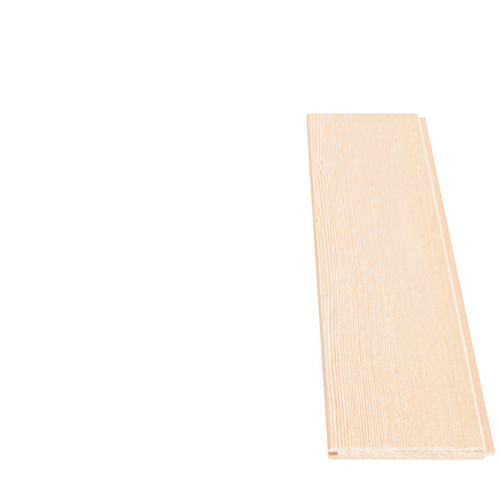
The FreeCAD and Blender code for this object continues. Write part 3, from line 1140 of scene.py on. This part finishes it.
def ring_stripes(tree, jitter):
    """A push towards summer wood, or away from it, by the ring number's fraction. Jitter lets fibres blur
    the line, each ring has its own strength, a long noise breaks it along the fibres, and in patches all
    rings are faint."""
    number = calc(tree, "ADD", mask(tree, "ring"), centred(tree, fibre_noise(tree, RING_BLUR), jitter))
    part = calc(tree, "FRACT", number)
    rise = scaled(tree, part, RING_RISE, (0.0, 1.0), "SMOOTHSTEP")
    fall = scaled(tree, part, RING_FALL, (0.0, 1.0), "SMOOTHSTEP")
    stripe = calc(tree, "SUBTRACT", rise, fall)
    name_of_ring = calc(tree, "FLOOR", number)
    own = add_node(tree, "ShaderNodeTexWhiteNoise", {"W": name_of_ring}, noise_dimensions="1D")
    strength = calc(tree, "MULTIPLY_ADD", own.outputs["Value"], RINGS_DIFFER, FAINTEST_RING)
    push = centred(tree, stripe, strength)
    for size in (RING_BREAKS, RING_PATCHES):
        kept = calc(tree, "MULTIPLY_ADD", fibre_noise(tree, size), BREAKS_DIFFER, FAINTEST_BREAK)
        push = calc(tree, "MULTIPLY", push, kept)
    return push


print("fibre noises for the rings", RING_BLUR, RING_BREAKS, RING_PATCHES)

# %% Pin knots
KNOT_DOT = 0.5
KNOT_HOOK = -0.45
KNOT_FIBRES = (1.0, 3.5)
KNOT_ROUGH = 0.35
DOT_FADE = (0.1, 0.45)
HOOK_APART = 0.72
HOOK_FADE = (0.08, 0.26)
HOOK_SIDE = (-0.3, 0.2)


def knot_mark(tree, knot):
    """An orange dot in a pin knot and a pale hook round its left side. Both go by the distance from the
    knot's middle, counted in reaches and roughened by fibres: the dot fades outwards, the hook is a
    band."""
    middle = ((knot["from_lip"] - half_width) * MM, knot["along"] * MM, thickness * MM)
    reach = (knot["reach"][0] * MM, knot["reach"][1] * MM, 1.0)
    values = {"Vector": object_place(tree), "Location": middle, "Scale": reach}
    mapped = add_node(tree, "ShaderNodeMapping", values, vector_type="TEXTURE").outputs[0]
    rough = centred(tree, fibre_noise(tree, KNOT_FIBRES), KNOT_ROUGH)
    apart = calc(tree, "ADD", length_of(tree, mapped), rough)
    dot = scaled(tree, apart, DOT_FADE, (KNOT_DOT * knot["dot"], 0.0))
    from_band = calc(tree, "ABSOLUTE", calc(tree, "SUBTRACT", apart, HOOK_APART))
    band = scaled(tree, from_band, HOOK_FADE, (KNOT_HOOK * knot["hook"], 0.0))
    left = scaled(tree, coordinate(tree, "X", mapped), HOOK_SIDE, (1.0, 0.0))
    return calc(tree, "MULTIPLY_ADD", band, left, dot)


print(len(PIN_KNOTS), "pin knots")

# %% Planed face and bevel
FACE = {"base_tone": 0.39, "contrast": 0.92, "texture": 1.0}
# Painted highlight: the bevel is a paler copy of the face with fainter grain and texture, standing in for
# the light that catches it.
BEVEL_PAINTED_HIGHLIGHT = {"base_tone": 0.0, "contrast": 0.2, "texture": 0.4}
PALEST_PLANED = 0.05
PLANED_JITTER = 0.5
LONG_FIBRES = (0.8, 16.0)
STREAKS = (1.0, 8.0)
STREAK_PATCHES = (9.0, 24.0)
SPECKS = (0.9, 1.7)
FINE_DRIFT = (3.0, 60.0)
SLOW_DRIFT = (30.0, 110.0)
PLANED_BUMP = (0.35, 7.0)
PLANED_BUMP_DEPTH = 0.05
PLANED_PUSH = {"long_fibres": 0.25, "fine_drift": 0.2, "slow_drift": 0.15, "torn": 0.6, "pale": -0.5}
SPECKED_ALONG = (-200.0 * MM, 150.0 * MM)
SPECKS_NEAR_TO_FAR = (1.15, 0.1)
STREAKS_BY_SPECKS = (-0.45, 0.75)
STREAKS_BY_RINGS = (-0.35, 1.0)
FIBRES_BY_RINGS = (0.6, 0.2)
PATCH_EDGE = (0.38, 0.64)
PATCH_STRENGTHS = (0.4, 1.8)
ROUGH_BY_RINGS = (-0.12, 0.58)


def planed_pushes(tree):
    """All that moves the tone beside the rings: long fibres that show where the rings do, short streaks
    that come in patches and give way to specks towards the near end, slow drifts, the board's own marks
    and the pin knots. The board's own marks also carry painted shade and a painted highlight."""
    shown = mask(tree, "coarse")
    specked = scaled(tree, coordinate(tree, "Y"), SPECKED_ALONG, SPECKS_NEAR_TO_FAR)
    streaked = calc(tree, "MULTIPLY_ADD", specked, *STREAKS_BY_SPECKS)
    streaks = centred(tree, fibre_noise(tree, STREAKS, 1.0), streaked)
    patches = scaled(tree, fibre_noise(tree, STREAK_PATCHES, 1.0), PATCH_EDGE, PATCH_STRENGTHS)
    patches = calc(tree, "MULTIPLY", patches, calc(tree, "MULTIPLY_ADD", shown, *STREAKS_BY_RINGS))
    fibres = centred(tree, fibre_noise(tree, LONG_FIBRES), PLANED_PUSH["long_fibres"])
    return [
        calc(tree, "MULTIPLY", fibres, calc(tree, "MULTIPLY_ADD", shown, *FIBRES_BY_RINGS)),
        calc(tree, "MULTIPLY", streaks, patches),
        centred(tree, fibre_noise(tree, SPECKS), specked),
        centred(tree, fibre_noise(tree, FINE_DRIFT), PLANED_PUSH["fine_drift"]),
        centred(tree, fibre_noise(tree, SLOW_DRIFT), PLANED_PUSH["slow_drift"]),
        mask(tree, "resin_and_painted_shade"),
        calc(tree, "MULTIPLY", mask(tree, "torn"), PLANED_PUSH["torn"]),
        calc(tree, "MULTIPLY", mask(tree, "pale"), PLANED_PUSH["pale"]),
        *(knot_mark(tree, knot) for knot in PIN_KNOTS),
    ]


def planed_wood(name, base_tone, contrast, texture):
    """Planed wood: stripes by ring, scaled by contrast, and all other pushes, scaled by texture."""
    material, tree, output = empty_material(name)
    shown = calc(tree, "MULTIPLY", mask(tree, "coarse"), contrast)
    stripes = calc(tree, "MULTIPLY", ring_stripes(tree, PLANED_JITTER), shown)
    tone = calc(tree, "ADD", stripes, base_tone)
    for push in planed_pushes(tree):
        tone = calc(tree, "MULTIPLY_ADD", push, texture, tone)
    tone = calc(tree, "MAXIMUM", tone, PALEST_PLANED)
    rough = calc(tree, "MULTIPLY_ADD", stripes, *ROUGH_BY_RINGS)
    fine = fibre_noise(tree, PLANED_BUMP, 3.0)
    wood_shader(tree, output, tone_colour(tree, tone), rough, fine, PLANED_BUMP_DEPTH)
    return material


board.data.materials.append(planed_wood("planed_face", **FACE))
board.data.materials.append(planed_wood("planed_bevel_painted_highlight", **BEVEL_PAINTED_HIGHLIGHT))
print("materials so far", [slot.name for slot in board.data.materials])

# %% [markdown]
# ## Milled edges and sawn ends
# Tongue, groove and back leave the moulder's side heads a little rougher and warmer than the face,
# and a tint of painted shade makes them a little darker and pinker. The sawn ends look down the
# fibres: the rings are faint there, the cut is pale and mottled, and torn spots are painted darker and
# greyer, as painted shade in their hollows.

# %% Milled edges
MILLED_TONE = 0.445
# Painted shade: a tint that makes the milled edges a little darker and pinker, standing in for shade on the
# tongue.
MILLED_PAINTED_SHADE = (0.98, 0.967, 1.0, 1.0)
MILLED_JITTER = 0.4
MILLED_STREAKS = (1.6, 40.0)
MILLED_SPECKS = (1.0, 3.5)
MILLED_BUMP = (0.5, 9.0)
MILLED_BUMP_DEPTH = 0.08
MILLED_PUSH = {"rings": 0.25, "streaks": 0.4, "specks": 0.75, "torn": 0.5}
MILLED_ROUGHNESS = 0.62
MILLED_GLOSS = 0.1


def milled_wood(name, base_tone):
    """The moulder's edge: warm, and a little darker and pinker by a tint of painted shade, streaked along
    the length, with faint rings.
    """
    material, tree, output = empty_material(name)
    tone = calc(tree, "MULTIPLY_ADD", ring_stripes(tree, MILLED_JITTER), MILLED_PUSH["rings"], base_tone)
    for push in (
        centred(tree, fibre_noise(tree, MILLED_STREAKS), MILLED_PUSH["streaks"]),
        centred(tree, fibre_noise(tree, MILLED_SPECKS), MILLED_PUSH["specks"]),
        mask(tree, "resin_and_painted_shade"),
        calc(tree, "MULTIPLY", mask(tree, "torn"), MILLED_PUSH["torn"]),
    ):
        tone = calc(tree, "ADD", tone, push)
    colour = tinted(tree, tone_colour(tree, tone), MILLED_PAINTED_SHADE)
    fine = fibre_noise(tree, MILLED_BUMP, 3.0)
    wood_shader(tree, output, colour, MILLED_ROUGHNESS, fine, MILLED_BUMP_DEPTH, MILLED_GLOSS)
    return material


board.data.materials.append(milled_wood("milled_edge", MILLED_TONE))
print("materials so far", [slot.name for slot in board.data.materials])

# %% Sawn ends
SAWN_TONE = 0.215
SAWN_JITTER = 0.9
# Between these places along the board the look of the near end turns into that of the far end.
NEAR_TO_FAR = (-100.0 * MM, 100.0 * MM)
FAR_TONE_MORE = 0.1
RINGS_NEAR_TO_FAR = (0.14, 0.4)
FLAKES_NEAR_TO_FAR = (1.0, 0.2)
FLAKES_UP = {"span": (4.0 * MM, 10.0 * MM), "ends": (0.55, 1.0)}
DARKER_FOOT = {"span": (0.4 * MM, 2.2 * MM), "ends": (0.14, 0.0)}
DARKER_LOWER = {"span": (2.0 * MM, 8.0 * MM), "ends": (0.05, 0.0)}
# The near end's top edge breaks into white spots, partly crumbled fibres and partly a painted highlight, and
# a few darker ones.
CRUMBLED = {"span": (0.42, 0.58), "ends": (0.35, -0.6)}
# Painted shade: torn spots are greyer and darker, as the shadow in their hollows.
TORN_SHADE = {"span": (0.1, 0.9), "ends": (1.0, 0.92)}
FLAKE_SHADE = {"span": (0.35, 0.65), "ends": (1.0, 0.94)}
SPECKLE = (0.9, 0.9)
CRUMBS = (1.4, 1.4)
STAINS = (9.0, 9.0)
FLAKES = (2.2, 2.2, 1.5)
SAW_SCRATCHES = (0.5, 0.5, 5.0)
SAWN_BUMP = (0.5, 0.5)
SAWN_BUMP_DEPTH = 0.15
SAWN_PUSH = {"flakes": 1.4, "scratches": 0.4, "speckle": 0.9, "stains": 0.25, "torn": 0.9}
RAGGED_BY_SPECKLE = (1.4, 0.2)
SAWN_ROUGHNESS = 0.75


def sawn_wood(name, base_tone):
    """The sawn ends: pale, with broken rings and fine scratches of the saw. The near one is paler and
    rougher: its rings are fainter, flakes cover its upper part, white spots, partly a painted highlight,
    crumble its top edge, and darker spots are torn below it. Flakes are also a little greyer, and torn
    spots are painted greyer and darker, as painted shade in their hollows."""
    material, tree, output = empty_material(name)
    along = coordinate(tree, "Y")
    height = coordinate(tree, "Z")
    rings = scaled(tree, along, NEAR_TO_FAR, RINGS_NEAR_TO_FAR)
    base = scaled(tree, along, NEAR_TO_FAR, (base_tone, base_tone + FAR_TONE_MORE))
    flaked = calc(tree, "MULTIPLY", scaled(tree, height, **FLAKES_UP),
                  scaled(tree, along, NEAR_TO_FAR, FLAKES_NEAR_TO_FAR))
    speckle = fibre_noise(tree, SPECKLE)
    stains = fibre_noise(tree, STAINS, 1.0)
    flake = fibre_noise(tree, FLAKES)
    crumbled = scaled(tree, fibre_noise(tree, CRUMBS, 1.0), **CRUMBLED)
    torn_edge = calc(tree, "MULTIPLY_ADD", speckle, *RAGGED_BY_SPECKLE)
    ragged = calc(tree, "MULTIPLY", mask(tree, "torn"), torn_edge)
    tone = calc(tree, "MULTIPLY_ADD", ring_stripes(tree, SAWN_JITTER), rings, base)
    for push in (
        calc(tree, "MULTIPLY", centred(tree, flake, SAWN_PUSH["flakes"]), flaked),
        centred(tree, fibre_noise(tree, SAW_SCRATCHES), SAWN_PUSH["scratches"]),
        centred(tree, speckle, SAWN_PUSH["speckle"]),
        centred(tree, stains, SAWN_PUSH["stains"]),
        calc(tree, "MULTIPLY", mask(tree, "pale"), crumbled),
        calc(tree, "MULTIPLY", ragged, SAWN_PUSH["torn"]),
        calc(tree, "MULTIPLY", scaled(tree, height, **DARKER_FOOT), stains),
        scaled(tree, height, **DARKER_LOWER),
    ):
        tone = calc(tree, "ADD", tone, push)
    shade = calc(tree, "MULTIPLY", scaled(tree, ragged, **TORN_SHADE), scaled(tree, flake, **FLAKE_SHADE))
    colour = tinted(tree, tone_colour(tree, tone), shade)
    wood_shader(tree, output, colour, SAWN_ROUGHNESS, fibre_noise(tree, SAWN_BUMP, 3.0), SAWN_BUMP_DEPTH)
    return material


board.data.materials.append(sawn_wood("sawn_end", SAWN_TONE))
print("materials", [slot.name for slot in board.data.materials])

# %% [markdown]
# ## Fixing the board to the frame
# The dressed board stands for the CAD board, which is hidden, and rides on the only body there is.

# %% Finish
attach(board, "root")
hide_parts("board")
bpy.context.view_layer.update()
